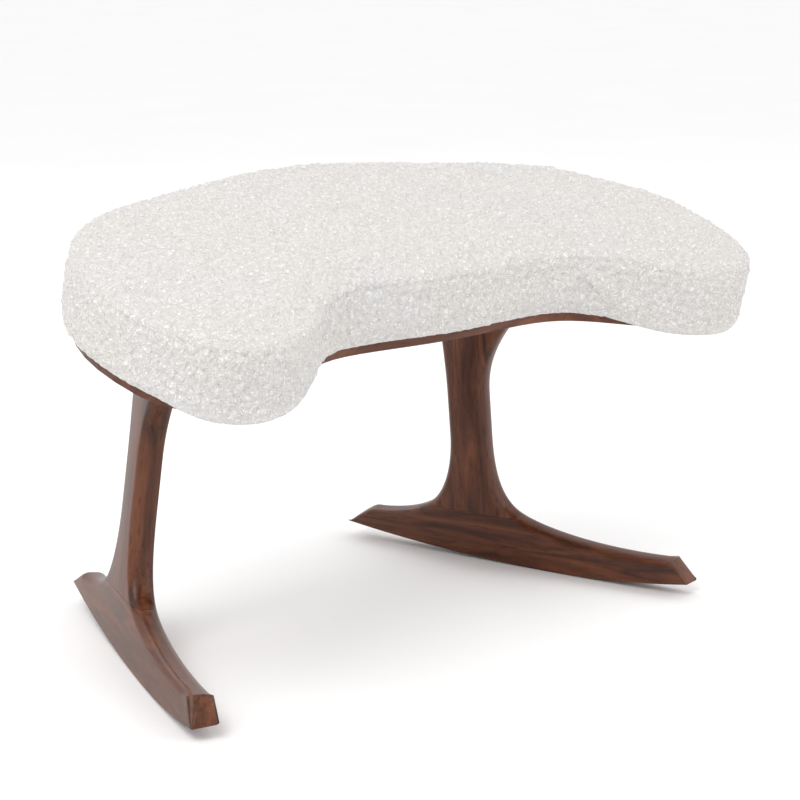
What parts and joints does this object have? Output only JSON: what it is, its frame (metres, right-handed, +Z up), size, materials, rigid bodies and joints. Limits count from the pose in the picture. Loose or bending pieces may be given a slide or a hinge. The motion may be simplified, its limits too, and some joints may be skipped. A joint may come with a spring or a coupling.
{
  "type": "rocking stool",
  "caption": "Rocking stool with a bean-shaped, forward-sloping seat in white bouclé on two fanned walnut legs with long curved runners",
  "frame": {"origin": "on the floor, at the middle of the stool's bounding box seen from above", "axes": "+X across the stool, +Y towards its back, away from the scooped front, +Z up"},
  "size_m": [0.7, 0.4597, 0.4394],
  "materials": {
    "walnut": "satin lacquer",
    "boucle": "curled white pile",
    "plywood": "raw",
    "birch": "raw",
    "foam": "open-cell foam",
    "wadding": "polyester wadding",
    "steel": "zinc plated",
    "brass": "turned"
  },
  "bodies": {
    "root": {"seat_board": "plywood", "underside_shell": "walnut", "shell_screws": "steel", "base_foam": "foam", "top_foam": "foam", "fibre_wrap": "wadding", "cover_top": "boucle", "cover_front_band": "boucle", "cover_rear_band": "boucle", "cover_hem": "boucle", "cover_staples": "steel", "left_post": "walnut", "right_post": "walnut", "left_runner": "walnut", "right_runner": "walnut", "left_dowels": "birch", "right_dowels": "birch", "left_leg_bolts": "steel", "right_leg_bolts": "steel", "left_washers": "steel", "right_washers": "steel", "left_inserts": "brass", "right_inserts": "brass"}
  },
  "joints": []
}
